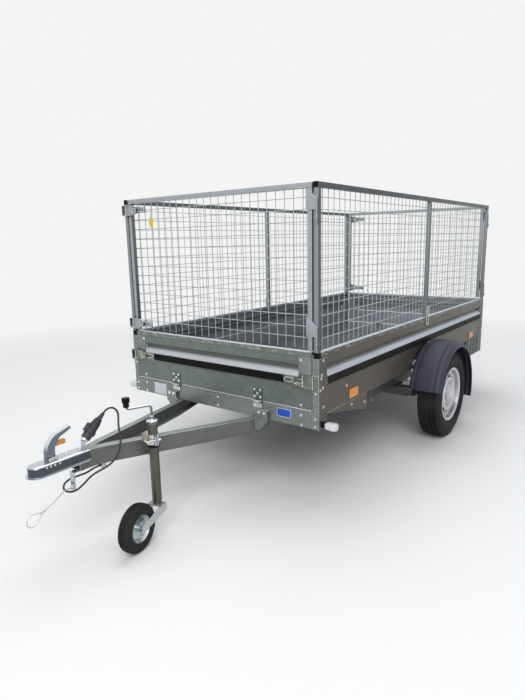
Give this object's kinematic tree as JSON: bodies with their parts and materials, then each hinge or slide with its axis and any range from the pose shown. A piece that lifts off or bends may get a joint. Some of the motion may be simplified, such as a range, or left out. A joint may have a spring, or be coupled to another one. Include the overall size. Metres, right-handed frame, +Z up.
{
  "type": "utility trailer",
  "caption": "Utility trailer with a plywood load floor, drop lids, hinged mesh gates, a ball coupling and a swivelling jockey wheel.",
  "frame": {"origin": "on the ground under the middle of the trailer's length and width, without its cords", "axes": "+Z up, +Y to the rear along the trailer's length, +X to its left; the coupling's nose points along -Y"},
  "size_m": [1.76, 3.8729, 1.577],
  "materials": {
    "galvanised": "hot-dip galvanised sheet, satin",
    "zinc_tube": "galvanised tube, satin",
    "zinc_wire": "galvanised wire",
    "bright_zinc": "bright zinc plated",
    "yellow_zinc": "pale passivated zinc",
    "black_trim": "matt black",
    "guard_plastic": "grained slate-black polyethylene",
    "plywood": "film-faced plywood",
    "rubber_tyre": "tyre rubber",
    "silver_rim": "silver paint",
    "rim_zinc": "zinc plated",
    "lens_white": "clear ribbed lens",
    "lens_orange": "orange reflector",
    "lens_red": "red lamp lens",
    "cable_black": "black cable and plug",
    "wire_steel": "stranded steel"
  },
  "bodies": {
    "chassis": {"side_panel_left": "galvanised", "side_panel_right": "galvanised", "side_trim": "black_trim", "floor_deck": "plywood", "cross_members": "galvanised", "corner_posts": "galvanised", "front_sill": "galvanised", "rear_sill": "galvanised", "side_gussets": "galvanised", "side_mesh_left": "zinc_tube", "side_mesh_right": "zinc_tube", "side_wires_left": "zinc_wire", "side_wires_right": "zinc_wire", "mesh_caps": "black_trim", "drawbar_left": "galvanised", "drawbar_right": "galvanised", "beam_brackets": "bright_zinc", "coupling_head": "bright_zinc", "coupling_lever": "bright_zinc", "plug_holder": "bright_zinc", "jockey_clamp": "yellow_zinc", "jockey_outer_tube": "bright_zinc", "jockey_crank": "bright_zinc", "axle_tube": "galvanised", "swing_arms": "galvanised", "mudguard_left": "guard_plastic", "mudguard_right": "guard_plastic", "mudguard_brackets": "bright_zinc", "marker_arms": "black_trim", "marker_lamps": "lens_white", "side_reflectors": "lens_orange", "rear_lamps": "lens_red", "cable_lead": "cable_black", "cable_plug": "cable_black", "safety_wire": "wire_steel", "wire_loop": "wire_steel", "wire_ferrules": "wire_steel", "wire_anchor": "wire_steel"},
    "front_lid": {"front_lid": "galvanised", "front_lid_trim": "black_trim", "front_lid_fittings": "yellow_zinc"},
    "rear_lid": {"rear_lid": "galvanised", "rear_lid_trim": "black_trim", "rear_lid_fittings": "yellow_zinc"},
    "front_gate": {"front_gate": "zinc_tube", "front_gate_wires": "zinc_wire"},
    "rear_gate": {"rear_gate": "zinc_tube", "rear_gate_wires": "zinc_wire"},
    "wheel_left": {"hub_left": "rim_zinc", "rim_left": "silver_rim", "tyre_left": "rubber_tyre"},
    "wheel_right": {"hub_right": "rim_zinc", "rim_right": "silver_rim", "tyre_right": "rubber_tyre"},
    "jockey_leg": {"jockey_leg": "bright_zinc"},
    "jockey_fork": {"jockey_fork": "bright_zinc"},
    "jockey_wheel": {"jockey_rim": "rim_zinc", "jockey_tyre": "rubber_tyre"}
  },
  "joints": [
    {"name": "front_lid_fold", "type": "hinge", "parent": "chassis", "child": "front_lid", "pos_m": [0, -0.823, 0.515], "axis": [1, 0, 0], "range_deg": [0, 95]},
    {"name": "rear_lid_fold", "type": "hinge", "parent": "chassis", "child": "rear_lid", "pos_m": [0, 1.893, 0.515], "axis": [-1, 0, 0], "range_deg": [0, 150]},
    {"name": "front_gate_swing", "type": "hinge", "parent": "chassis", "child": "front_gate", "pos_m": [0.662, -0.823, 1.2], "axis": [0, 0, 1], "range_deg": [0, 180]},
    {"name": "rear_gate_swing", "type": "hinge", "parent": "chassis", "child": "rear_gate", "pos_m": [0.662, 1.893, 1.2], "axis": [0, 0, -1], "range_deg": [0, 180]},
    {"name": "wheel_left_spin", "type": "hinge", "parent": "chassis", "child": "wheel_left", "pos_m": [0.772, 0.612, 0.289], "axis": [1, 0, 0], "continuous": true},
    {"name": "wheel_right_spin", "type": "hinge", "parent": "chassis", "child": "wheel_right", "pos_m": [-0.772, 0.612, 0.289], "axis": [1, 0, 0], "continuous": true},
    {"name": "jockey_leg_slide", "type": "slide", "parent": "chassis", "child": "jockey_leg", "axis": [0, 0, -1], "range_m": [0, 0.2]},
    {"name": "jockey_swivel", "type": "hinge", "parent": "jockey_leg", "child": "jockey_fork", "pos_m": [0.15698, -1.40042, 0.14], "axis": [0, 0, 1], "continuous": true},
    {"name": "jockey_wheel_spin", "type": "hinge", "parent": "jockey_fork", "child": "jockey_wheel", "pos_m": [0.19185, -1.55144, 0.1075], "axis": [0.9744, 0.225, 0], "continuous": true}
  ]
}
